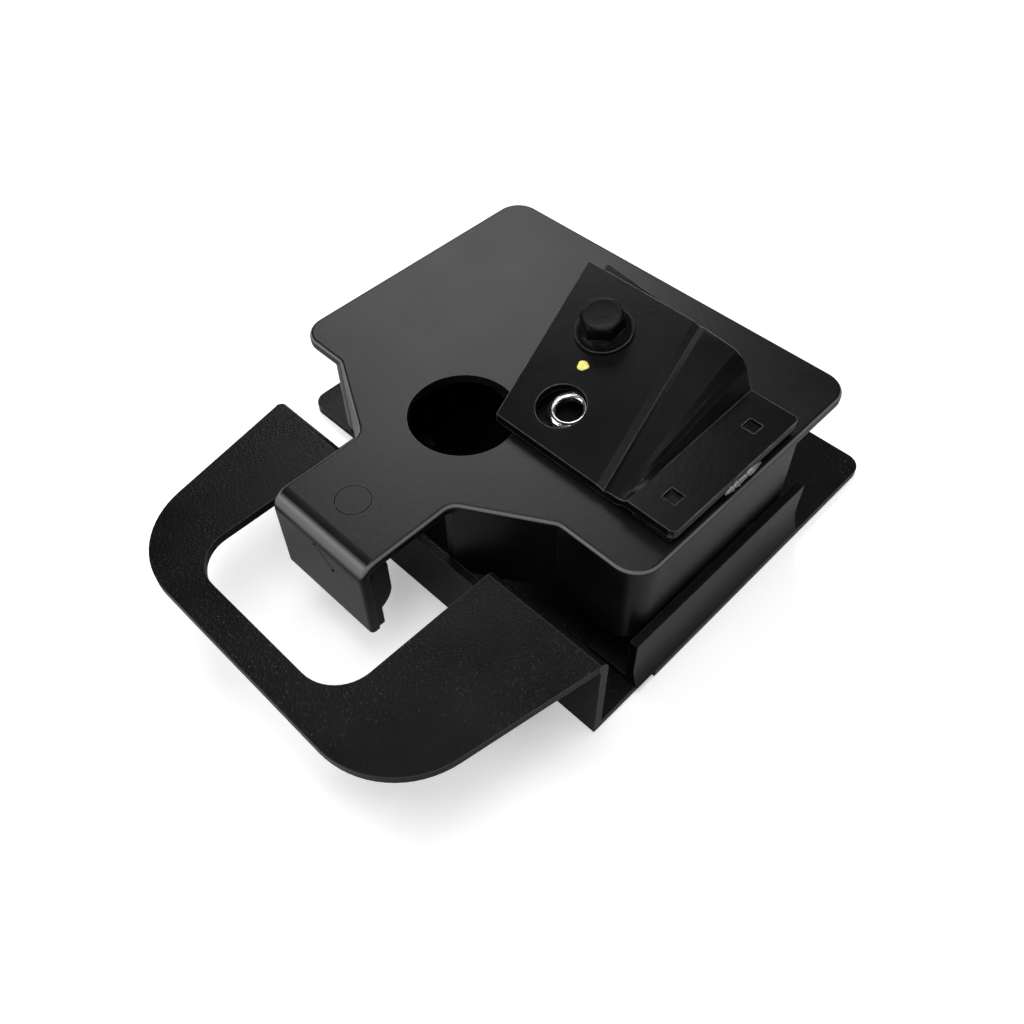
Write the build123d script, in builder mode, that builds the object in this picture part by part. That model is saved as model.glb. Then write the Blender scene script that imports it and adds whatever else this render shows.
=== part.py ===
"""Gravity gate latch: a weighted hook cover on a hinged axle over a base with a pull loop."""
from math import asin, atan, cos, radians, sin
import os

from build123d import *

os.makedirs("parts", exist_ok=True)

# ---- driving dimensions, millimetres; origin at the middle of the base's underside ----
sheet = 3.0
base_width = 172.0
base_rear = 74.0
base_side_front = -46.4
base_corner = 6.0

riser_face = -74.0
loop_center = 13.0
loop_half_width = 72.0
loop_tip_half_width = 59.0
loop_tip = -142.8
loop_top = 40.0
loop_tip_radius = 29.0
loop_bend = 4.0
opening_left = -26.7
opening_right = 41.0
opening_tip = -131.9
opening_radius = 13.0
notch_floor = 26.5

cover_center = 5.0
cover_width = 150.0
cover_front = -54.0
cover_depth = 107.0
cover_top = 53.0
cover_corner = 9.0
skirt_clearance = 0.2
skirt_set_in = 13.0
skirt_rear = 22.0
neck_center = 2.0
neck_width = 41.0
riser_clearance = 0.5
lip_face = -105.0
lip_bottom = 22.0
lip_bend = 6.0
flare_left = -48.0
flare_right = 50.0
hole_x = -1.3
hole_y = -42.6
hole_radius = 17.6

rail_gap = 0.5
rail_top = 25.0
rail_front = -55.0
rail_set_back = 0.4
rail_rear = 31.0
rail_foot = 14.5
foot_thickness = 2.5

pivot_y = 12.0
axle_radius = 4.0
axle_clearance = 0.05
bush_wall = 1.5
bush_flange_radius = 7.0
flange_foot_gap = 0.5
ear_end_radius = 6.8
ear_thickness = 3.0
side_clearance = 0.2
opening_angle = 25.0

pad_length = 16.0
pad_front = -46.0
pad_gap = 0.3
seat_height = 4.0

mount_spacing_x = 90.0
mount_spacing_y = 75.0
mount_center_y = 3.5
mount_hole_radius = 4.1
nut_across_flats = 13.0
nut_height = 6.5

spacer_thickness = 3.0
flange_left = 61.3
flange_right = 78.3
bracket_front = -38.0
bracket_rear = 23.0
arm_front_left = 9.0
arm_rear_left = -8.0
crease_front = 50.0
crease_rear = 35.6
arm_front_rise = 4.0
arm_rear_rise = 19.2
web_rear = 57.0
web_drop = 2.2
groove_fall = 2.6
groove_width = 4.2
groove_depth = 0.7
window = 4.6
window_x = 69.6
window_front = -27.5
window_rear = 10.5

bush_hole_x = 23.2
bush_hole_y = -24.2
bush_hole_radius = 8.0
bolt_x = 15.4
bolt_y = 4.4
dot_x = 18.8
dot_y = -9.4
dot_radius = 2.1
dot_thickness = 0.3

# ---- sizes worked out from the driving dimensions ----
cover_left = cover_center - cover_width / 2
cover_right = cover_center + cover_width / 2
cover_rear = cover_front + cover_depth
cover_under = cover_top - sheet
skirt_left = cover_left + skirt_set_in
skirt_width = cover_right - skirt_left
skirt_center = (skirt_left + cover_right) / 2
mount_center_x = skirt_center
neck_root = riser_face + sheet + riser_clearance
neck_left = neck_center - neck_width / 2
neck_right = neck_center + neck_width / 2
riser_rear = riser_face + 2 * sheet
foot_top = sheet + foot_thickness
pivot_z = foot_top + bush_flange_radius + flange_foot_gap
skirt_bottom = pivot_z + bush_flange_radius + skirt_clearance
flange_top = cover_top + spacer_thickness + sheet
flange_under = cover_top + spacer_thickness
arm_front_top = cover_top + arm_front_rise
arm_rear_top = cover_top + arm_rear_rise
arm_front_under = arm_front_top - sheet
arm_rear_under = arm_rear_top - sheet
web_rear_top = arm_rear_top - web_drop
bush_radius = axle_radius + axle_clearance + bush_wall
arm_slope = (arm_rear_top - arm_front_top) / (bracket_rear - bracket_front)
arm_tilt = atan(arm_slope)
arm_sheet = sheet * cos(arm_tilt)


def arm_plane(x, y, depth=0.0):
    """Plane on the arm's upper face above (x, y), sunk by depth along the arm's normal."""
    height = arm_front_top + arm_slope * (y - bracket_front)
    normal = Vector(0, -sin(arm_tilt), cos(arm_tilt))
    return Plane(origin=Vector(x, y, height) - normal * depth, x_dir=(1, 0, 0), z_dir=normal)


def save(builder, name):
    """Label one finished piece and write its STEP file."""
    builder.part.label = name
    export_step(builder.part, f"parts/{name}.step")


# ---- base plate, riser and pull loop: one bent sheet ----
with BuildPart() as base_and_pull_loop:
    with BuildSketch(Plane.XY):
        with BuildLine():
            Polyline(
                (-base_width / 2, base_side_front),
                (loop_center - loop_half_width, base_side_front),
                (loop_center - loop_half_width, riser_face),
                (loop_center + loop_half_width, riser_face),
                (loop_center + loop_half_width, base_side_front),
                (base_width / 2, base_side_front),
                (base_width / 2, base_rear),
                (-base_width / 2, base_rear),
                close=True,
            )
        make_face()
    extrude(amount=sheet)
    rear_corners = base_and_pull_loop.edges().filter_by(Axis.Z).group_by(Axis.Y)[-1]
    side_corners = base_and_pull_loop.edges().filter_by(Axis.Z).group_by(Axis.X)[0]
    fillet(rear_corners + side_corners.sort_by(Axis.Y)[:1], radius=base_corner)
    with BuildSketch(Plane.YZ.offset(loop_center - loop_half_width)):
        with BuildLine():
            Polyline(
                (riser_face + sheet, 0),
                (riser_face + sheet, loop_top - loop_bend),
            )
            RadiusArc(
                (riser_face + sheet, loop_top - loop_bend),
                (riser_face + sheet - loop_bend, loop_top),
                -loop_bend,
            )
            Polyline(
                (riser_face + sheet - loop_bend, loop_top),
                (riser_face + sheet - loop_bend, loop_top - sheet),
                (riser_face, loop_top - sheet),
                (riser_face, 0),
                (riser_face + sheet, 0),
            )
        make_face()
    extrude(amount=2 * loop_half_width)
    with BuildSketch(Plane.XY.offset(loop_top - sheet)) as loop_sketch:
        with BuildLine():
            FilletPolyline(
                (loop_center - loop_half_width, riser_face),
                (loop_center - loop_tip_half_width, loop_tip),
                (loop_center + loop_tip_half_width, loop_tip),
                (loop_center + loop_half_width, riser_face),
                radius=loop_tip_radius,
            )
            Line(
                (loop_center + loop_half_width, riser_face),
                (loop_center - loop_half_width, riser_face),
            )
        make_face()
    extrude(amount=sheet)
    with BuildSketch(Plane.XY.offset(notch_floor)):
        with BuildLine():
            FilletPolyline(
                (opening_left, riser_rear),
                (opening_left, opening_tip),
                (opening_right, opening_tip),
                (opening_right, riser_rear),
                radius=opening_radius,
            )
            Line((opening_right, riser_rear), (opening_left, riser_rear))
        make_face()
    extrude(amount=loop_top - notch_floor, mode=Mode.SUBTRACT)
    with Locations((mount_center_x, mount_center_y, 0)):
        with GridLocations(mount_spacing_x, mount_spacing_y, 2, 2):
            Cylinder(mount_hole_radius, 4 * sheet, mode=Mode.SUBTRACT)
save(base_and_pull_loop, "base_and_pull_loop")

# ---- captive nuts over the four mounting holes ----
with BuildPart() as mounting_nuts:
    with BuildSketch(Plane.XY.offset(sheet)):
        with Locations((mount_center_x, mount_center_y)):
            with GridLocations(mount_spacing_x, mount_spacing_y, 2, 2):
                RegularPolygon(nut_across_flats / 2, 6, major_radius=False)
                Circle(mount_hole_radius, mode=Mode.SUBTRACT)
    extrude(amount=nut_height)
save(mounting_nuts, "mounting_nuts")


# ---- side rails: upright wall, inner foot and a rounded outer root ----
rail_inner = skirt_width / 2 + rail_gap
rail_outer = rail_inner + sheet
rail_root_flare = 2.4
rail_root = rail_outer + rail_root_flare
pocket_depth = 2.0
axle_end_gap = 0.1
rivet_radius = 2.5
rivet_head = 4.2
rivet_inset = 9.0
rivet_head_height = 1.8
head_taper = 25.0
rivet_ys = (-24.0, -9.0)


def side_rail(side):
    """One rail, side +1 right or -1 left; the left one starts where the base does."""
    front = rail_front if side > 0 else base_side_front + rail_set_back
    with BuildPart() as rail:
        with BuildSketch(Plane.XZ.offset(-rail_rear)):
            with BuildLine():
                Polyline(
                    (skirt_center + side * rail_root, sheet),
                    (skirt_center + side * (rail_inner - rail_foot), sheet),
                    (skirt_center + side * (rail_inner - rail_foot), foot_top),
                    (skirt_center + side * rail_inner, foot_top),
                    (skirt_center + side * rail_inner, rail_top),
                    (skirt_center + side * rail_outer, rail_top),
                    (skirt_center + side * rail_outer, pivot_z),
                )
                TangentArc(
                    (skirt_center + side * rail_outer, pivot_z),
                    (skirt_center + side * rail_root, sheet),
                    tangent=(0, -1),
                )
            make_face()
        extrude(amount=rail_rear - front)
        with Locations(Plane.YZ.offset(skirt_center)):
            with Locations((pivot_y, pivot_z, side * rail_inner)):
                Cylinder(axle_radius, 2 * pocket_depth, mode=Mode.SUBTRACT)
        for y in rivet_ys:
            with Locations((skirt_center + side * (rail_inner - rivet_inset), y, sheet)):
                Cylinder(rivet_radius, 4 * sheet, mode=Mode.SUBTRACT)
    return rail


right_rail = side_rail(1)
save(right_rail, "right_side_rail")
left_rail = side_rail(-1)
save(left_rail, "left_side_rail")

with BuildPart() as rail_rivets:
    for side in (-1, 1):
        for y in rivet_ys:
            with BuildSketch(Plane.XY.offset(sheet)):
                with Locations((skirt_center + side * (rail_inner - rivet_inset), y)):
                    Circle(rivet_radius)
            extrude(amount=foot_thickness)
            with BuildSketch(Plane.XY.offset(foot_top)):
                with Locations((skirt_center + side * (rail_inner - rivet_inset), y)):
                    Circle(rivet_head)
            extrude(amount=rivet_head_height, taper=head_taper)
save(rail_rivets, "rail_rivets")

# ---- hinge axle, washers, retaining rings ----
axle_reach = rail_inner + pocket_depth - axle_end_gap
with BuildPart() as pivot_axle:
    with BuildSketch(Plane.YZ.offset(skirt_center - axle_reach)):
        with Locations((pivot_y, pivot_z)):
            Circle(axle_radius)
    extrude(amount=2 * axle_reach)
save(pivot_axle, "pivot_axle")


def axle_rings(near, far, radius, bore):
    """Two rings on the axle, mirrored about the centre line, from near to far of it."""
    with BuildPart() as rings:
        for start in (skirt_center + near, skirt_center - far):
            with BuildSketch(Plane.YZ.offset(start)):
                with Locations((pivot_y, pivot_z)):
                    Circle(radius)
                    Circle(bore, mode=Mode.SUBTRACT)
            extrude(amount=far - near)
    return rings


skirt_inner = skirt_width / 2 - sheet
ear_inner = skirt_inner - ear_thickness
bush_flange = 2.0
ring_thickness = 1.4
bush_inner = ear_inner - bush_flange
ring_outer = bush_inner - side_clearance
thrust_washers = axle_rings(skirt_inner + side_clearance, rail_inner, bush_flange_radius, axle_radius)
save(thrust_washers, "thrust_washers")
retaining_rings = axle_rings(ring_outer - ring_thickness, ring_outer, bush_flange_radius, axle_radius)
save(retaining_rings, "retaining_rings")

# ---- bushes and ears that carry the cover on the axle ----
with BuildPart() as pivot_bushes:
    for side in (-1, 1):
        start = skirt_center + (bush_inner if side > 0 else -skirt_inner)
        with BuildSketch(Plane.YZ.offset(start)):
            with Locations((pivot_y, pivot_z)):
                Circle(bush_radius)
        extrude(amount=skirt_inner - bush_inner)
        flange_start = skirt_center + (bush_inner if side > 0 else -ear_inner)
        with BuildSketch(Plane.YZ.offset(flange_start)):
            with Locations((pivot_y, pivot_z)):
                Circle(bush_flange_radius)
        extrude(amount=ear_inner - bush_inner)
    with BuildSketch(Plane.YZ.offset(skirt_left)):
        with Locations((pivot_y, pivot_z)):
            Circle(axle_radius + axle_clearance)
    extrude(amount=skirt_width, mode=Mode.SUBTRACT)
save(pivot_bushes, "pivot_bushes")

heel_reach = 13.0
heel_gap = 0.2
heel_angle = asin((pivot_z - foot_top - heel_gap) / heel_reach) - radians(opening_angle)
heel_y = pivot_y + heel_reach * cos(heel_angle)
heel_z = pivot_z - heel_reach * sin(heel_angle)
ear_front = pivot_y - 12.0


def hinge_ear(side):
    """Ear plate inside the skirt; its heel meets the rail foot when the cover is fully open."""
    start = skirt_center + (ear_inner if side > 0 else -skirt_inner)
    with BuildPart() as ear:
        with BuildSketch(Plane.YZ.offset(start)):
            with Locations((pivot_y, pivot_z)):
                Circle(ear_end_radius)
            with BuildLine():
                Polyline(
                    (ear_front, cover_under),
                    (ear_front, pivot_z + 5),
                    (pivot_y - 6.5, pivot_z - 1),
                    (pivot_y, pivot_z - 6),
                    (pivot_y + 6, pivot_z - 4),
                    (heel_y, heel_z),
                    (skirt_rear, pivot_z + 7),
                    (skirt_rear, cover_under),
                    close=True,
                )
            make_face()
            with Locations((pivot_y, pivot_z)):
                Circle(bush_radius, mode=Mode.SUBTRACT)
        extrude(amount=ear_thickness)
    return ear


right_ear = hinge_ear(1)
save(right_ear, "right_hinge_ear")
left_ear = hinge_ear(-1)
save(left_ear, "left_hinge_ear")

# ---- rubber stops under the skirt, on steel seats ----
pad_width = rail_foot - 2.0
pad_side_gap = 0.1


def stop_blocks(bottom, top):
    """Two blocks inside the rails, mirrored about the centre line."""
    with BuildPart() as blocks:
        with BuildSketch(Plane.XY.offset(bottom)):
            for side in (-1, 1):
                block_x = skirt_center + side * (rail_inner - pad_side_gap - pad_width / 2)
                with Locations((block_x, pad_front + pad_length / 2)):
                    Rectangle(pad_width, pad_length)
        extrude(amount=top - bottom)
    return blocks


stop_seats = stop_blocks(foot_top, foot_top + seat_height)
save(stop_seats, "stop_seats")
stop_pads = stop_blocks(foot_top + seat_height, skirt_bottom - pad_gap)
save(stop_pads, "rubber_stop_pads")

# ---- hook cover: top plate, skirt, neck and lip in one pressing ----
flare_neck_left = (neck_left, neck_root)
flare_neck_right = (neck_right, neck_root)
lip_start = lip_face + lip_bend
waist_radius = 5.0
crown_radius = 1.4
slot_length = 10.6
slot_width = 2.4
slot_turn = -39.0
slot_x = neck_center + 2.7
slot_z = cover_top - 9.0
rivet_x = 0.7
rivet_y = -89.0
weight_rivet_radius = 3.0
head_radius = 5.3
head_depth = 1.2
head_groove = 0.3
with BuildPart() as hook_cover:
    with BuildSketch(Plane.XY.offset(cover_under)) as plate_sketch:
        with BuildLine():
            Polyline(
                (cover_left, cover_rear),
                (cover_left, cover_front),
                (flare_left, cover_front),
                flare_neck_left,
                (neck_left, lip_start),
                (neck_right, lip_start),
                flare_neck_right,
                (flare_right, cover_front),
                (cover_right, cover_front),
                (cover_right, cover_rear),
                close=True,
            )
        make_face()
        outer = plate_sketch.vertices().filter_by(lambda v: abs(v.X - cover_center) > cover_width / 2 - 1)
        fillet(outer, radius=cover_corner)
        waist = plate_sketch.vertices().filter_by(
            lambda v: abs(v.Y - neck_root) < 0.1 or (abs(v.Y - cover_front) < 0.1 and abs(v.X) < 60)
        )
        fillet(waist, radius=waist_radius)
    extrude(amount=sheet)
    with BuildSketch(Plane.XY.offset(skirt_bottom)) as skirt_sketch:
        with BuildLine():
            Polyline(
                (skirt_left, cover_rear),
                (skirt_left, cover_front),
                (flare_left, cover_front),
                flare_neck_left,
                flare_neck_right,
                (flare_right, cover_front),
                (cover_right, cover_front),
                (cover_right, cover_rear),
                close=True,
            )
        make_face()
        skirt_corners = skirt_sketch.vertices().filter_by(
            lambda v: abs(v.X - skirt_center) > skirt_width / 2 - 1 and v.Y < 0
        )
        fillet(skirt_corners, radius=cover_corner)
        offset(amount=-sheet, mode=Mode.SUBTRACT)
        with Locations((neck_center, neck_root)):
            Rectangle(neck_width - 2 * sheet, 4 * sheet, mode=Mode.SUBTRACT)
        with Locations((cover_center, skirt_rear + cover_depth / 2)):
            Rectangle(cover_width + 2, cover_depth, mode=Mode.SUBTRACT)
    extrude(amount=cover_under - skirt_bottom)
    with BuildSketch(Plane.YZ.offset(neck_left)):
        with BuildLine():
            Line((lip_start, cover_top), (lip_start, cover_under))
            RadiusArc(
                (lip_start, cover_under),
                (lip_face + sheet, cover_top - lip_bend),
                sheet - lip_bend,
            )
            Polyline(
                (lip_face + sheet, cover_top - lip_bend),
                (lip_face + sheet, lip_bottom),
                (lip_face, lip_bottom),
                (lip_face, cover_top - lip_bend),
            )
            RadiusArc((lip_face, cover_top - lip_bend), (lip_start, cover_top), lip_bend)
        make_face()
    extrude(amount=neck_width)
    with Locations((hole_x, hole_y, cover_top)):
        Cylinder(hole_radius, 4 * sheet, mode=Mode.SUBTRACT)
    top_face = hook_cover.faces().filter_by(Plane.XY).sort_by(Axis.Z)[-1]
    crown = top_face.outer_wire().edges().filter_by(lambda e: e.center().Y > lip_start + 1)
    fillet(crown, radius=crown_radius)
    with BuildSketch(Plane.XZ.offset(-lip_face)):
        with Locations((slot_x, slot_z)):
            SlotOverall(slot_length, slot_width, rotation=slot_turn)
    extrude(amount=-sheet, mode=Mode.SUBTRACT)
    with Locations((rivet_x, rivet_y, cover_top)):
        Cylinder(weight_rivet_radius, 4 * sheet, mode=Mode.SUBTRACT)
        Cylinder(head_radius + head_groove, 2 * head_depth, mode=Mode.SUBTRACT)
save(hook_cover, "hook_cover")

# ---- hardened nose block welded behind the lip ----
nose_back = lip_face + sheet
nose_step = nose_back + 3.0
nose_rear = nose_back + 7.5
nose_bottom = lip_bottom - 1.0
nose_side_gap = 1.0
with BuildPart() as hook_nose_block:
    with BuildSketch(Plane.YZ.offset(neck_left + nose_side_gap)):
        with BuildLine():
            Polyline(
                (nose_back, cover_under - lip_bend),
                (nose_back, nose_bottom),
                (nose_step, nose_bottom),
                (nose_step, nose_bottom + 8),
            )
            RadiusArc((nose_step, nose_bottom + 8), (nose_rear, nose_bottom + 14), -8)
            Polyline(
                (nose_rear, nose_bottom + 14),
                (nose_rear, cover_under - 3),
                (nose_rear - 2.5, cover_under),
                (lip_start + 0.1, cover_under),
                (nose_back, cover_under - lip_bend),
            )
        make_face()
    extrude(amount=neck_width - 2 * nose_side_gap)
save(hook_nose_block, "hook_nose_block")

# ---- gravity weight under the neck, with its flush rivet ----
weight_height = 8.0
weight_front = -93.4
weight_rear = -78.0
weight_width = neck_width - 10.0
weight_y = (weight_front + weight_rear) / 2
with BuildPart() as gravity_weight:
    with BuildSketch(Plane.XY.offset(cover_under - weight_height)):
        with Locations((neck_center, weight_y)):
            Rectangle(weight_width, weight_rear - weight_front)
        with Locations((rivet_x, rivet_y)):
            Circle(weight_rivet_radius, mode=Mode.SUBTRACT)
    extrude(amount=weight_height)
save(gravity_weight, "gravity_weight")

with BuildPart() as weight_rivet:
    with BuildSketch(Plane.XY.offset(cover_under - weight_height)):
        with Locations((rivet_x, rivet_y)):
            Circle(weight_rivet_radius)
    extrude(amount=weight_height + sheet)
    with BuildSketch(Plane.XY.offset(cover_top - head_depth)):
        with Locations((rivet_x, rivet_y)):
            Circle(head_radius)
    extrude(amount=head_depth)
save(weight_rivet, "weight_rivet")

# ---- bent bracket on the cover: flange, rising web and tilted arm ----
spacer_inset = 1.2
spacer_width = flange_right - flange_left - 2 * spacer_inset
spacer_length = bracket_rear - bracket_front - 2 * spacer_inset
flange_corner = 2.0
bolt_radius = 4.0
tenon_depth = 1.2
with BuildPart() as bracket_spacer:
    with BuildSketch(Plane.XY.offset(cover_top)):
        with Locations(((flange_left + flange_right) / 2, (bracket_front + bracket_rear) / 2)):
            Rectangle(spacer_width, spacer_length)
        for y in (window_front, window_rear):
            with Locations((window_x, y)):
                Rectangle(window, window, mode=Mode.SUBTRACT)
    extrude(amount=spacer_thickness)
save(bracket_spacer, "bracket_spacer")

with BuildPart() as z_bracket:
    with BuildSketch(Plane.XZ.offset(-bracket_front)):
        with BuildLine():
            Polyline(
                (arm_front_left, arm_front_top),
                (crease_front, arm_front_top),
                (crease_front + groove_fall, arm_front_top - groove_depth),
                (crease_front + groove_width, arm_front_top),
                (flange_left - 3.6, arm_front_top + 0.3),
                (flange_left - 2.5, arm_front_top + 0.5),
                (flange_left - 1.6, arm_front_top + 0.8),
                (flange_left - 0.9, arm_front_top + 1.3),
                (flange_left, flange_top),
                (flange_right, flange_top),
                (flange_right, flange_under),
                (flange_left - 0.4, flange_under),
                (flange_left - 1.8, flange_under - 0.5),
                (flange_left - 2.6, arm_front_under + 0.8),
                (flange_left - 3.6, arm_front_under + 0.5),
                (flange_left - 4.6, arm_front_under + 0.3),
                (crease_front, arm_front_under),
                (arm_front_left, arm_front_under),
                close=True,
            )
        make_face()
    with BuildSketch(Plane.XZ.offset(-bracket_rear)):
        with BuildLine():
            Polyline(
                (arm_rear_left, arm_rear_top),
                (crease_rear, arm_rear_top),
                (crease_rear + groove_fall, arm_rear_top - groove_depth),
                (crease_rear + groove_width, arm_rear_top - groove_depth / 2),
                (web_rear - 5.0, web_rear_top + 0.6),
                (web_rear - 1.9, web_rear_top - 1.0),
                (web_rear + 0.3, web_rear_top - 3.8),
                (web_rear + 1.5, web_rear_top - 7.2),
                (flange_left - 1.0, flange_top),
                (flange_right, flange_top),
                (flange_right, flange_under),
                (flange_left - 3.6, flange_under),
                (web_rear - 1.6, web_rear_top - 7.8),
                (web_rear - 2.6, web_rear_top - 5.6),
                (web_rear - 4.2, web_rear_top - 3.4),
                (web_rear - 6.6, web_rear_top - 2.4),
                (crease_rear - 0.4, arm_rear_under),
                (arm_rear_left, arm_rear_under),
                close=True,
            )
        make_face()
    loft(ruled=True)
    flange_corners = z_bracket.edges().filter_by(Axis.Z).group_by(Axis.X)[-1]
    fillet(flange_corners, radius=flange_corner)
    with BuildSketch(Plane.XY.offset(cover_top)):
        for y in (window_front, window_rear):
            with Locations((window_x, y)):
                Rectangle(window, window)
    extrude(amount=4 * sheet, mode=Mode.SUBTRACT)
    with BuildSketch(arm_plane(bush_hole_x, bush_hole_y, 2 * sheet)):
        Circle(bush_hole_radius)
    extrude(amount=4 * sheet, mode=Mode.SUBTRACT)
    with BuildSketch(arm_plane(bolt_x, bolt_y, 2 * sheet)):
        Circle(bolt_radius)
    extrude(amount=4 * sheet, mode=Mode.SUBTRACT)
save(z_bracket, "z_bracket")

with BuildPart() as bracket_tenons:
    with BuildSketch(Plane.XY.offset(cover_top)):
        for y in (window_front, window_rear):
            with Locations((window_x, y)):
                Rectangle(window, window)
    extrude(amount=spacer_thickness + sheet - tenon_depth)
save(bracket_tenons, "bracket_tenons")

bead_radius = 1.15
bead_steps = 9
bead_pitch = 1.9
bead_start = -15.0
bead_x = flange_right + bead_radius + 0.02
bead_z = flange_top - bead_radius
with BuildPart() as bracket_weld_bead:
    for step in range(bead_steps):
        with Locations((bead_x, bead_start + bead_pitch * step, bead_z)):
            Sphere(bead_radius)
save(bracket_weld_bead, "bracket_weld_bead")

# ---- stiffener strip under the arm's rear edge ----
strip_thickness = 2.0
strip_outline = ((-4.0, 4.5), (34.0, 1.2), (34.0, -7.0), (-2.0, -7.0))
with BuildPart() as arm_stiffener:
    with BuildSketch(arm_plane(0, bracket_rear, arm_sheet + strip_thickness)):
        with BuildLine():
            Polyline(*strip_outline, close=True)
        make_face()
    extrude(amount=strip_thickness)
save(arm_stiffener, "arm_stiffener")

# ---- clamp bolt, washer and nut on the arm ----
washer_radius = 9.6
washer_thickness = 1.2
skirt_radius = 8.6
skirt_height = 1.6
skirt_taper = 20.0
hex_sink = 0.4
hex_height = 6.2
tail = 0.8
shank = arm_sheet + nut_height + tail
with BuildPart() as clamp_washer:
    with BuildSketch(arm_plane(bolt_x, bolt_y)):
        Circle(washer_radius)
        Circle(bolt_radius, mode=Mode.SUBTRACT)
    extrude(amount=washer_thickness)
save(clamp_washer, "clamp_washer")

with BuildPart() as clamp_bolt:
    with BuildSketch(arm_plane(bolt_x, bolt_y, -washer_thickness)):
        Circle(skirt_radius)
    extrude(amount=skirt_height, taper=skirt_taper)
    with BuildSketch(arm_plane(bolt_x, bolt_y, hex_sink - washer_thickness - skirt_height)):
        RegularPolygon(nut_across_flats / 2, 6, major_radius=False)
    extrude(amount=hex_height)
    with BuildSketch(arm_plane(bolt_x, bolt_y, shank)):
        Circle(bolt_radius)
    extrude(amount=shank + washer_thickness + skirt_height / 2)
save(clamp_bolt, "clamp_bolt")

with BuildPart() as clamp_nut:
    with BuildSketch(arm_plane(bolt_x, bolt_y, arm_sheet + nut_height)):
        RegularPolygon(nut_across_flats / 2, 6, major_radius=False)
        Circle(bolt_radius, mode=Mode.SUBTRACT)
    extrude(amount=nut_height)
save(clamp_nut, "clamp_nut")

# ---- plated bush seen through the arm's hole, for a release rod or cable end ----
release_bore = 4.4
release_radius = 5.6
release_x = bush_hole_x + 1.6
release_y = bush_hole_y + 1.5
collar_radius = bush_hole_radius + 1.6
collar_thickness = 1.2
bush_bottom = arm_sheet + 2.0
bush_length = arm_sheet + 0.6
with BuildPart() as release_bush:
    with BuildSketch(arm_plane(release_x, release_y, bush_bottom)):
        Circle(release_radius)
    extrude(amount=bush_length)
    with BuildSketch(arm_plane(bush_hole_x, bush_hole_y, arm_sheet + collar_thickness)):
        Circle(collar_radius)
    extrude(amount=collar_thickness)
    with BuildSketch(arm_plane(release_x, release_y, bush_bottom)):
        Circle(release_bore)
    extrude(amount=bush_bottom, mode=Mode.SUBTRACT)
save(release_bush, "release_bush")

with BuildPart() as inspection_dot:
    with BuildSketch(arm_plane(dot_x, dot_y)):
        Circle(dot_radius)
    extrude(amount=dot_thickness)
save(inspection_dot, "inspection_dot")
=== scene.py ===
"""Looks of the gravity gate latch: finishes, fine pieces, floor, light and camera."""
from math import atan, cos, pi, radians, sin

import bmesh
import bpy
from mathutils import Matrix, Vector, noise


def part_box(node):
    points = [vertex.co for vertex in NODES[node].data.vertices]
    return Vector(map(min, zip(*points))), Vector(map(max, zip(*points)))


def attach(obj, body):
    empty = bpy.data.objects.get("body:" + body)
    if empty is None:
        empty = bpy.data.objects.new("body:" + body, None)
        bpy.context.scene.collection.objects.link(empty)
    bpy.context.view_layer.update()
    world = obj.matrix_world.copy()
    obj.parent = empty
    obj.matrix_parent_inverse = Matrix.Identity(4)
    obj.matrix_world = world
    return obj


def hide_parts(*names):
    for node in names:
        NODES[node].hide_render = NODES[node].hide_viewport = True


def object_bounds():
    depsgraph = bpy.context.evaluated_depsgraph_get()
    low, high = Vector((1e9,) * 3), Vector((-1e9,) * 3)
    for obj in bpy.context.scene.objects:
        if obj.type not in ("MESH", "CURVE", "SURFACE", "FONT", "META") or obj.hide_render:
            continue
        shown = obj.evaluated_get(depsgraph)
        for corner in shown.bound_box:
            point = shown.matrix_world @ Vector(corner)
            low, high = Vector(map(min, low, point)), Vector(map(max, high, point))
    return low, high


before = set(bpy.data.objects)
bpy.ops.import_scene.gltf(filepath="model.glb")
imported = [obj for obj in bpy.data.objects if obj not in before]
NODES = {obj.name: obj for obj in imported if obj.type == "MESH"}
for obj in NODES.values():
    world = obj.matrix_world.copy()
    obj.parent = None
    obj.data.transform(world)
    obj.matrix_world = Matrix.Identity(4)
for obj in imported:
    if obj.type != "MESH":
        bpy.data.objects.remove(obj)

cad_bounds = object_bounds()
MM = 0.001

# ---- camera: azimuth, elevation and roll in degrees, place in metres ----
CAMERA_PLACE = Vector((0.1607, -0.1838, 0.2727))
CAMERA_AZIMUTH = 44.92
CAMERA_ELEVATION = 51.49
CAMERA_ROLL = -0.76
CAMERA_LENS = 34.21
SENSOR = 36.0
CAMERA_NEAR = 0.01

# ---- floor ----
FLOOR_GAP = 0.2 * MM
FLOOR_GLOW_SEEN = 0.38
FLOOR_GLOW_BOUNCED = 0.08

# ---- softened edges of the CAD nodes ----
WELD_REACH = 0.002 * MM
BEVEL_SEGMENTS = 3
SHARP_ANGLE = radians(35)
PLAIN_WEIGHT = 100
WEB_WEIGHT = 50

# ---- coats ----
EDGE_REACH = 0.5 * MM
DEEP_BLACK = (0.0035, 0.0035, 0.004)
MATT_BLACK = (0.003, 0.003, 0.0035)
# Pale edge colour below: partly a thinner, rubbed coat and partly a painted edge highlight.
THIN_COAT_AND_EDGE_HIGHLIGHT = (0.05, 0.05, 0.053)


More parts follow.
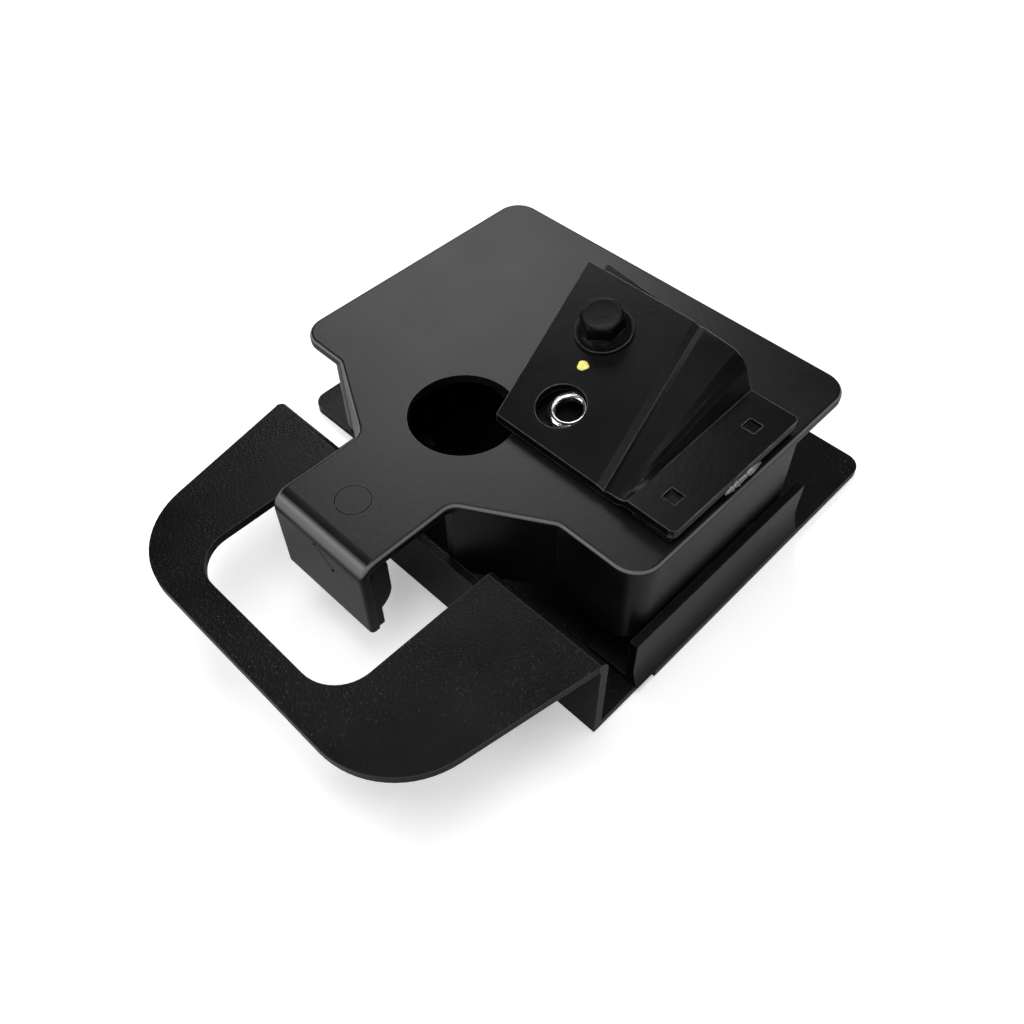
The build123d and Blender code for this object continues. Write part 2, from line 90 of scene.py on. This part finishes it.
# ---------------------------------------------------------------- node helpers
class Shader:
    """A material with a Principled shader and short calls to add nodes."""

    def __init__(self, name, **inputs):
        self.material = bpy.data.materials.new(name)
        self.material.use_nodes = True
        self.tree = self.material.node_tree
        self.principled = self.tree.nodes["Principled BSDF"]
        for key, value in inputs.items():
            self.principled.inputs[key.replace("_", " ")].default_value = value
        self.place = self.add("ShaderNodeTexCoord").outputs["Object"]

    def add(self, kind, **settings):
        node = self.tree.nodes.new(kind)
        for key, value in settings.items():
            setattr(node, key, value)
        return node

    def link(self, output, node_input):
        self.tree.links.new(output, node_input)

    def noise(self, scale, detail=3.0, rough=0.5, distortion=0.0):
        node = self.add("ShaderNodeTexNoise")
        self.link(self.place, node.inputs["Vector"])
        node.inputs["Scale"].default_value = scale
        node.inputs["Detail"].default_value = detail
        node.inputs["Roughness"].default_value = rough
        node.inputs["Distortion"].default_value = distortion
        return node.outputs["Fac"]

    def cells(self, scale):
        node = self.add("ShaderNodeTexVoronoi", feature="F1")
        self.link(self.place, node.inputs["Vector"])
        node.inputs["Scale"].default_value = scale
        return node.outputs["Distance"]

    def ramp(self, value, low, high, start, end):
        """Maps value from low..high to start..end, clamped."""
        node = self.add("ShaderNodeMapRange")
        self.link(value, node.inputs["Value"])
        for key, number in zip(("From Min", "From Max", "To Min", "To Max"), (low, high, start, end)):
            node.inputs[key].default_value = number
        return node.outputs["Result"]

    def math(self, operation, a, b):
        node = self.add("ShaderNodeMath", operation=operation)
        for value, socket in zip((a, b), node.inputs):
            if isinstance(value, float):
                socket.default_value = value
            else:
                self.link(value, socket)
        return node.outputs["Value"]

    def mix(self, factor, first, second):
        """Colour between first and second; each is a colour tuple or a socket."""
        node = self.add("ShaderNodeMix", data_type="RGBA")
        self.link(factor, node.inputs["Factor"])
        for value, socket in zip((first, second), (node.inputs[6], node.inputs[7])):
            if isinstance(value, tuple):
                socket.default_value = (*value, 1.0)
            else:
                self.link(value, socket)
        return node.outputs[2]

    def edges(self, reach=EDGE_REACH):
        """One along edges and corners, zero on open faces, for a thinner, rubbed coat and a painted edge
        highlight.
        """
        bevel = self.add("ShaderNodeBevel", samples=4)
        bevel.inputs["Radius"].default_value = reach
        facing = self.add("ShaderNodeVectorMath", operation="DOT_PRODUCT")
        self.link(bevel.outputs["Normal"], facing.inputs[0])
        self.link(self.add("ShaderNodeNewGeometry").outputs["Normal"], facing.inputs[1])
        return self.ramp(facing.outputs["Value"], 0.99, 0.9, 0.0, 1.0)

    def rolled_highlight_mask(self):
        """One where a face leans half way between level and upright, in the object's own frame; it places
        a painted highlight on bent edges.
        """
        axes = self.add("ShaderNodeSeparateXYZ")
        self.link(self.add("ShaderNodeTexCoord").outputs["Normal"], axes.inputs[0])
        lean = axes.outputs["Z"]
        off_upright = self.ramp(lean, 0.3, 0.5, 0.0, 1.0)
        off_level = self.ramp(lean, 0.82, 0.93, 1.0, 0.0)
        return self.math("MULTIPLY", off_upright, off_level)

    def set(self, name, output):
        self.link(output, self.principled.inputs[name])

    def bump(self, layers):
        """layers: (height output, strength, distance in metres), from coarse to fine."""
        normal = None
        for height, strength, distance in layers:
            node = self.add("ShaderNodeBump")
            node.inputs["Strength"].default_value = strength
            node.inputs["Distance"].default_value = distance
            self.link(height, node.inputs["Height"])
            if normal is not None:
                self.link(normal, node.inputs["Normal"])
            normal = node.outputs["Normal"]
        self.set("Normal", normal)


# ---------------------------------------------------------------- materials
def powder_coat(name, rough, grain, gloss, dark=DEEP_BLACK, light=(0.008, 0.008, 0.009),
                wear_and_highlight=THIN_COAT_AND_EDGE_HIGHLIGHT, reach=EDGE_REACH, edge_wear_and_highlight=1.0, rolled_highlight=0.0):
    """Satin black coat on steel: orange peel, faint mottling and a lighter colour on the edges, partly a
    thinner coat and partly a painted highlight.

    reach is how far in from an edge the coat is thin and the edge highlight is painted, in metres; the
    last two arguments are how strongly the pale edge colour shows on sharp edges and, as a painted
    highlight only, on bent ones.
    """
    shader = Shader(name, Specular_IOR_Level=gloss)
    mottle = shader.noise(38.0, 4.0, 0.55)
    peel = shader.noise(620.0, 2.0, 0.45)
    fine = shader.noise(2300.0, 2.0, 0.5)
    body = shader.mix(shader.ramp(mottle, 0.35, 0.7, 0.0, 1.0), dark, light)
    patches = shader.ramp(shader.noise(160.0), 0.3, 0.65, 0.25 * edge_wear_and_highlight, edge_wear_and_highlight)
    # Pale edge colour: partly a thinner, rubbed coat on sharp edges and partly a painted highlight; on
    # bent edges it is painted highlight only.
    worn_and_highlit = shader.math("MULTIPLY", shader.edges(reach), patches)
    # Bent edges get the pale colour as a painted highlight.
    if rolled_highlight:
        worn_and_highlit = shader.math("MAXIMUM", worn_and_highlit, shader.math("MULTIPLY", shader.rolled_highlight_mask(), rolled_highlight))
    shader.set("Base Color", shader.mix(worn_and_highlit, body, wear_and_highlight))
    shader.set("Roughness", shader.ramp(mottle, 0.3, 0.75, rough - 0.02, rough + 0.03))
    shader.bump([(peel, 0.22 * grain, 0.0004), (fine, 0.16 * grain, 0.00015)])
    return shader.material


def sparkling_coat(name):
    """Coarser textured coat of the pull loop, with small grains painted bright as glints."""
    shader = Shader(name, Specular_IOR_Level=0.065)
    mottle = shader.noise(42.0, 4.0, 0.55)
    grains = shader.cells(1100.0)
    peel = shader.noise(900.0, 3.0, 0.6)
    patch = shader.ramp(shader.noise(22.0, 2.0), 0.42, 0.62, 0.1, 1.0)
    body = shader.mix(shader.ramp(mottle, 0.35, 0.7, 0.0, 1.0), DEEP_BLACK, (0.007, 0.007, 0.0078))
    # Bright grain cores in patches are painted glints of light on the coarse coat.
    glint_cores = shader.ramp(grains, 0.0, 0.3, 1.0, 0.0)
    some = shader.ramp(peel, 0.5, 0.62, 0.0, 1.0)
    painted_glints = shader.math("MULTIPLY", glint_cores, some)
    glinted = shader.mix(shader.math("MULTIPLY", painted_glints, patch), body, (0.1, 0.1, 0.104))
    shader.set("Base Color", shader.mix(shader.edges(), glinted, THIN_COAT_AND_EDGE_HIGHLIGHT))
    shader.set("Roughness", shader.ramp(mottle, 0.3, 0.75, 0.3, 0.42))
    height = shader.math("MULTIPLY", shader.ramp(grains, 0.0, 0.55, 1.0, 0.0), patch)
    shader.bump([(height, 0.55, 0.00022), (peel, 0.3, 0.0002)])
    return shader.material


def plated(name, tint, rough):
    """Bare or plated metal with fine scratches and dull patches."""
    shader = Shader(name, Metallic=1.0)
    cloud = shader.noise(180.0, 4.0)
    scratches = shader.noise(1500.0, 5.0, 0.7, 0.4)
    dull = tuple(0.6 * c for c in tint)
    shader.set("Base Color", shader.mix(shader.ramp(cloud, 0.4, 0.7, 0.0, 1.0), tint, dull))
    shader.set("Roughness", shader.ramp(scratches, 0.3, 0.7, rough * 0.7, rough * 1.5))
    shader.bump([(scratches, 0.15, 0.0001)])
    return shader.material


def moulded_rubber(name):
    """Matt black rubber with a little dust."""
    shader = Shader(name, Specular_IOR_Level=0.35)
    grain = shader.noise(1400.0, 4.0, 0.6)
    dust = shader.noise(60.0, 4.0)
    dusty = shader.ramp(dust, 0.45, 0.75, 0.0, 1.0)
    shader.set("Base Color", shader.mix(dusty, (0.012, 0.012, 0.012), (0.03, 0.03, 0.028)))
    shader.set("Roughness", shader.ramp(grain, 0.3, 0.7, 0.7, 0.9))
    shader.bump([(grain, 0.35, 0.0002)])
    return shader.material


def marker_paint(name):
    """Thick yellow paint, paler where it is thin."""
    shader = Shader(name, Specular_IOR_Level=0.5)
    blot = shader.noise(700.0, 3.0)
    thin = shader.ramp(blot, 0.35, 0.65, 0.0, 1.0)
    shader.set("Base Color", shader.mix(thin, (0.72, 0.7, 0.03), (0.95, 0.94, 0.35)))
    shader.set("Roughness", shader.ramp(blot, 0.3, 0.7, 0.25, 0.5))
    shader.bump([(blot, 0.4, 0.0003)])
    return shader.material


# The cover's pale edge colour is mostly a painted highlight along its bent crown edges.
COVER_COAT = powder_coat("cover_coat", 0.36, 0.4, 0.17, wear_and_highlight=(0.17, 0.17, 0.175), edge_wear_and_highlight=0.22, rolled_highlight=0.9)
# The bracket's pale edge colour is partly a rubbed coat and partly a painted edge highlight.
BRACKET_COAT = powder_coat("bracket_coat", 0.3, 0.5, 0.07, MATT_BLACK, (0.005, 0.005, 0.0058),
                           wear_and_highlight=(0.15, 0.15, 0.155), reach=0.0006)
BASE_COAT = sparkling_coat("loop_coat")
DARK_COAT = powder_coat("inner_coat", 0.36, 0.7, 0.12, MATT_BLACK, (0.006, 0.006, 0.007))
ZINC = plated("bright_zinc", (0.78, 0.79, 0.8), 0.2)
STEEL = plated("turned_steel", (0.5, 0.5, 0.51), 0.3)
BRONZE = plated("sintered_bronze", (0.5, 0.34, 0.16), 0.4)
RUBBER = moulded_rubber("moulded_rubber")
YELLOW = marker_paint("yellow_marker")
# The weld bead's pale mottle is painted glints, bright specks of light on the bead.
WELD_GLINT_COAT = powder_coat("weld_coat", 0.14, 2.0, 0.5, (0.04, 0.04, 0.042), (0.5, 0.5, 0.51))

FINISHES = {
    COVER_COAT: ["hook_cover", "weight_rivet"],
    BASE_COAT: ["base_and_pull_loop"],
    BRACKET_COAT: ["z_bracket", "bracket_spacer", "bracket_tenons", "arm_stiffener", "clamp_washer",
                   "clamp_bolt", "bracket_weld_bead"],
    DARK_COAT: ["right_side_rail", "left_side_rail", "right_hinge_ear", "left_hinge_ear", "stop_seats",
                "hook_nose_block", "gravity_weight", "mounting_nuts", "rail_rivets"],
    ZINC: ["clamp_nut", "release_bush"],
    STEEL: ["thrust_washers", "retaining_rings", "pivot_axle"],
    BRONZE: ["pivot_bushes"],
    RUBBER: ["rubber_stop_pads"],
    YELLOW: ["inspection_dot"],
}
# Width of each node's softened edges, in millimetres; a node that isn't named keeps its sharp ones.
SOFT_EDGES = {
    "base_and_pull_loop": 0.5, "hook_cover": 0.45, "z_bracket": 0.5, "bracket_spacer": 0.4,
    "arm_stiffener": 0.4, "right_side_rail": 0.5, "left_side_rail": 0.5, "hook_nose_block": 0.6,
    "bracket_tenons": 0.3, "gravity_weight": 0.5, "clamp_bolt": 0.35, "clamp_washer": 0.25,
    "right_hinge_ear": 0.3, "left_hinge_ear": 0.3, "stop_seats": 0.4, "rubber_stop_pads": 0.8,
    "mounting_nuts": 0.3, "release_bush": 0.3, "clamp_nut": 0.3,
}


def soften_edges(obj, width, weight):
    """Small bevel on the sharp edges, with normals led by the large faces; width in millimetres."""
    weld = obj.modifiers.new("weld", "WELD")
    weld.merge_threshold = WELD_REACH
    bevel = obj.modifiers.new("bevel", "BEVEL")
    bevel.width = width * MM
    bevel.segments = BEVEL_SEGMENTS
    bevel.limit_method = "ANGLE"
    bevel.angle_limit = SHARP_ANGLE
    bevel.use_clamp_overlap = True
    bevel.face_strength_mode = "FSTR_ALL"
    normals = obj.modifiers.new("normals", "WEIGHTED_NORMAL")
    normals.weight = weight
    normals.keep_sharp = True
    normals.use_face_influence = True


def dress_cad_nodes():
    """Gives every CAD node its finish and its softened edges; the bracket's twisted web shades rounder."""
    for material, names in FINISHES.items():
        for name in names:
            obj = NODES[name]
            obj.data.materials.clear()
            obj.data.materials.append(material)
            if name in SOFT_EDGES:
                weight = WEB_WEIGHT if name == "z_bracket" else PLAIN_WEIGHT
                soften_edges(obj, SOFT_EDGES[name], weight)


dress_cad_nodes()


# ---------------------------------------------------------------- fine pieces on the arm
# The arm's upper face rises towards +Y; these sizes are the CAD's own, in millimetres.
ARM_FRONT_Y, ARM_REAR_Y = -38.0, 23.0
ARM_FRONT_Z, ARM_REAR_Z = 57.0, 72.2
ARM_SLOPE = (ARM_REAR_Z - ARM_FRONT_Z) / (ARM_REAR_Y - ARM_FRONT_Y)
ARM_TILT = atan(ARM_SLOPE)
ARM_SHEET = 3.0 * cos(ARM_TILT)
BOLT_AT = (15.4, 4.4)
BUSH_AT = (24.8, -22.7)
DOT_AT = (18.8, -9.4)


def arm_matrix(x, y):
    """Places local +Z along the arm's normal above (x, y), with the origin on its upper face."""
    height = ARM_FRONT_Z + ARM_SLOPE * (y - ARM_FRONT_Y)
    tilt = Matrix.Rotation(ARM_TILT, 4, "X")
    return Matrix.Translation(Vector((x, y, height)) * MM) @ tilt


def ringed_mesh(name, rings, matrix, material, segments, closed=False):
    """Closed mesh from rings of (height, radius), in millimetres, capped or joined end to start.

    A radius is a number, or a function that gives it at an angle.
    """
    shape = bmesh.new()
    loops = []
    for height, radius in rings:
        loop = []
        for k in range(segments):
            turn = 2 * pi * k / segments
            r = radius(turn) if callable(radius) else radius
            point = Vector((r * cos(turn), r * sin(turn), height)) * MM
            loop.append(shape.verts.new(matrix @ point))
        loops.append(loop)
    pairs = list(zip(loops, loops[1:]))
    if closed:
        pairs.append((loops[-1], loops[0]))
    for lower, upper in pairs:
        for k in range(segments):
            j = (k + 1) % segments
            shape.faces.new((lower[k], lower[j], upper[j], upper[k]))
    if not closed:
        shape.faces.new(reversed(loops[0]))
        shape.faces.new(loops[-1])
    bmesh.ops.recalc_face_normals(shape, faces=shape.faces)
    mesh = bpy.data.meshes.new(name)
    shape.to_mesh(mesh)
    shape.free()
    for face in mesh.polygons:
        face.use_smooth = True
    mesh.materials.append(material)
    obj = bpy.data.objects.new(name, mesh)
    bpy.context.collection.objects.link(obj)
    normals = obj.modifiers.new("normals", "WEIGHTED_NORMAL")
    normals.weight = 90
    return obj


def hexagon(across_flats, cap):
    """Radius of a hexagon at an angle, cut to the circle of radius cap as a chamfer does."""
    side = pi / 3

    def radius(turn):
        from_middle = (turn + side / 2) % side - side / 2
        return min(across_flats / 2 / cos(from_middle), cap)
    return radius


def make_bolt():
    """Hexagon flange bolt: shank, domed flange, chamfered head with a shallow dish.

    Heights are above the arm's face, and the washer lies between that face and the flange.
    """
    washer, shank, flange, head = 1.2, 3.95, 8.6, 13.0
    tip = -10.1
    rings = [(tip, shank - 0.45), (tip + 0.4, shank), (washer, shank)]
    rings += [(washer, flange - 0.15), (washer + 0.15, flange), (washer + 0.75, flange),
              (washer + 0.95, flange - 0.2), (washer + 1.8, 7.55)]
    head_caps = ((1.95, 7.45), (2.2, 7.4), (6.0, 7.4), (6.4, 7.2), (6.9, 6.7), (7.2, 6.1))
    rings += [(washer + z, hexagon(head, cap)) for z, cap in head_caps]
    dish = ((7.25, 5.9), (7.1, 5.2), (7.05, 3.0), (7.05, 0.6))
    rings += [(washer + z, r) for z, r in dish]
    bolt = ringed_mesh("flange_bolt", rings, arm_matrix(*BOLT_AT), BRACKET_COAT, 120)
    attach(bolt, "hook")
    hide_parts("clamp_bolt")


def make_bush():
    """Turned bush with a chamfered mouth and thread crests down its bore."""
    outer, collar = 5.6, 7.0
    crest, root = 4.45, 4.8
    bottom, top = -ARM_SHEET - 2.0, -1.6
    collar_under, collar_top = -ARM_SHEET - 1.2, -ARM_SHEET - 0.05
    rings = [(bottom, outer - 0.3), (bottom + 0.3, outer), (collar_under, outer), (collar_under, collar),
             (collar_top, collar), (collar_top, outer), (top - 0.5, outer), (top, outer - 0.15),
             (top - 1.1, crest)]
    crests = 3
    thread_top = top - 1.2
    pitch = (thread_top - bottom - 0.4) / crests
    for k in range(crests):
        start = thread_top - k * pitch
        rings += [(start, crest), (start - pitch / 2, root)]
    rings += [(bottom + 0.3, crest), (bottom, crest + 0.25)]
    bush = ringed_mesh("threaded_bush", rings, arm_matrix(*BUSH_AT), ZINC, 96, closed=True)
    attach(bush, "hook")
    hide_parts("release_bush")


def make_dot():
    """Blob of yellow paint with an uneven rim."""
    dot_radius = 1.9

    def rim(scale):
        def radius(turn):
            return scale * (dot_radius + 0.12 * sin(3 * turn + 0.4) + 0.07 * sin(5 * turn))
        return radius

    heights = ((0.0, 1.0), (0.1, 0.98), (0.2, 0.88), (0.26, 0.7), (0.28, 0.4), (0.28, 0.1))
    rings = [(z, rim(scale)) for z, scale in heights]
    dot = ringed_mesh("paint_dot", rings, arm_matrix(*DOT_AT), YELLOW, 48)
    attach(dot, "hook")
    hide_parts("inspection_dot")


def make_weld_bead():
    """Uneven rippled bead along the flange's outer edge."""
    low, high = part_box("bracket_weld_bead")
    centre = (Vector(low) + Vector(high)) / 2
    length = high[1] - low[1]
    radius = (high[0] - low[0]) / 2
    rings = []
    steps = 72
    for k in range(steps + 1):
        u = k / steps
        ends = min(1.0, 0.25 + 6 * min(u, 1 - u))
        ripple = 0.5 + 0.12 * abs(sin(13 * pi * u)) + 0.35 * noise.noise(Vector((23 * u, 1.7, 0.3)))
        rings.append(((u - 0.5) * length / MM, ends * ripple * radius / MM))
    along_y = Matrix.Translation(centre) @ Matrix.Rotation(-pi / 2, 4, "X")
    bead = ringed_mesh("weld_bead", rings, along_y, WELD_GLINT_COAT, 20)
    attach(bead, "hook")
    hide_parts("bracket_weld_bead")


make_bolt()
make_bush()
make_dot()
make_weld_bead()


# ---------------------------------------------------------------- stage
def make_floor():
    """White sweep under the latch, lighter to the camera than to the latch's own reflections."""
    mesh = bpy.data.meshes.new("floor")
    shape = bmesh.new()
    bmesh.ops.create_grid(shape, x_segments=1, y_segments=1, size=3.0)
    shape.to_mesh(mesh)
    shape.free()
    floor = bpy.data.objects.new("floor", mesh)
    floor.location.z = cad_bounds[0].z - FLOOR_GAP
    bpy.context.collection.objects.link(floor)
    shader = Shader("pale_floor", Roughness=0.9, Specular_IOR_Level=0.045)
    seen = shader.add("ShaderNodeLightPath").outputs["Is Camera Ray"]
    shade = shader.ramp(shader.noise(3.0), 0.3, 0.7, 0.0, 1.0)
    lit = shader.mix(shade, (0.86, 0.86, 0.86), (0.89, 0.89, 0.89))
    shader.set("Base Color", shader.mix(seen, (0.6, 0.6, 0.6), lit))
    shader.principled.inputs["Emission Color"].default_value = (1, 1, 1, 1)
    glow = shader.ramp(seen, 0.0, 1.0, FLOOR_GLOW_BOUNCED, FLOOR_GLOW_SEEN)
    shader.set("Emission Strength", glow)
    mesh.materials.append(shader.material)


def soft_light(name, place, target, size, power):
    """Rectangular lamp at place, facing target, in metres and watts."""
    lamp = bpy.data.lights.new(name, "AREA")
    lamp.shape = "RECTANGLE"
    lamp.size, lamp.size_y = size
    lamp.energy = power
    light = bpy.data.objects.new(name, lamp)
    light.location = place
    light.rotation_euler = (Vector(target) - Vector(place)).to_track_quat("-Z", "Y").to_euler()
    bpy.context.collection.objects.link(light)


def make_light():
    """Faint even fill, large boxes behind and above, and thin strips that pick out the edges."""
    world = bpy.data.worlds.new("studio")
    bpy.context.scene.world = world
    world.use_nodes = True
    background = world.node_tree.nodes["Background"]
    background.inputs["Color"].default_value = (1, 1, 1, 1)
    background.inputs["Strength"].default_value = 0.06
    soft_light("back_box", (-0.74, 0.62, 0.95), (0.0, 0.0, 0.03), (0.66, 0.66), 8.2)
    soft_light("top_box", (0.1, -0.1, 1.4), (0.0, 0.0, 0.0), (0.9, 0.9), 12.5)
    soft_light("front_box", (0.45, -0.75, 1.15), (0.0, 0.0, 0.03), (0.35, 0.35), 1.8)
    soft_light("side_strip", (0.85, 0.45, 0.42), (0.05, 0.0, 0.03), (0.06, 0.9), 0.5)
    soft_light("edge_strip", (-0.5, -0.8, 0.5), (0.0, -0.05, 0.03), (0.6, 0.05), 3.0)


def make_camera():
    """Camera fitted to the object's straight edges, turned by azimuth, elevation and roll."""
    azimuth = radians(CAMERA_AZIMUTH)
    elevation = radians(CAMERA_ELEVATION)
    roll = radians(CAMERA_ROLL)
    back = Vector((sin(azimuth) * cos(elevation), -cos(azimuth) * cos(elevation), sin(elevation)))
    flat = Vector((cos(azimuth), sin(azimuth), 0))
    up = back.cross(flat)
    right = cos(roll) * flat + sin(roll) * up
    top = -sin(roll) * flat + cos(roll) * up
    camera = bpy.data.objects.new("camera", bpy.data.cameras.new("camera"))
    facing = Matrix((right, top, back)).transposed().to_4x4()
    camera.matrix_world = Matrix.Translation(CAMERA_PLACE) @ facing
    camera.data.lens = CAMERA_LENS
    camera.data.sensor_width = SENSOR
    camera.data.clip_start = CAMERA_NEAR
    bpy.context.collection.objects.link(camera)
    bpy.context.scene.camera = camera


make_floor()
make_light()
make_camera()
bpy.context.scene.view_settings.view_transform = "Standard"
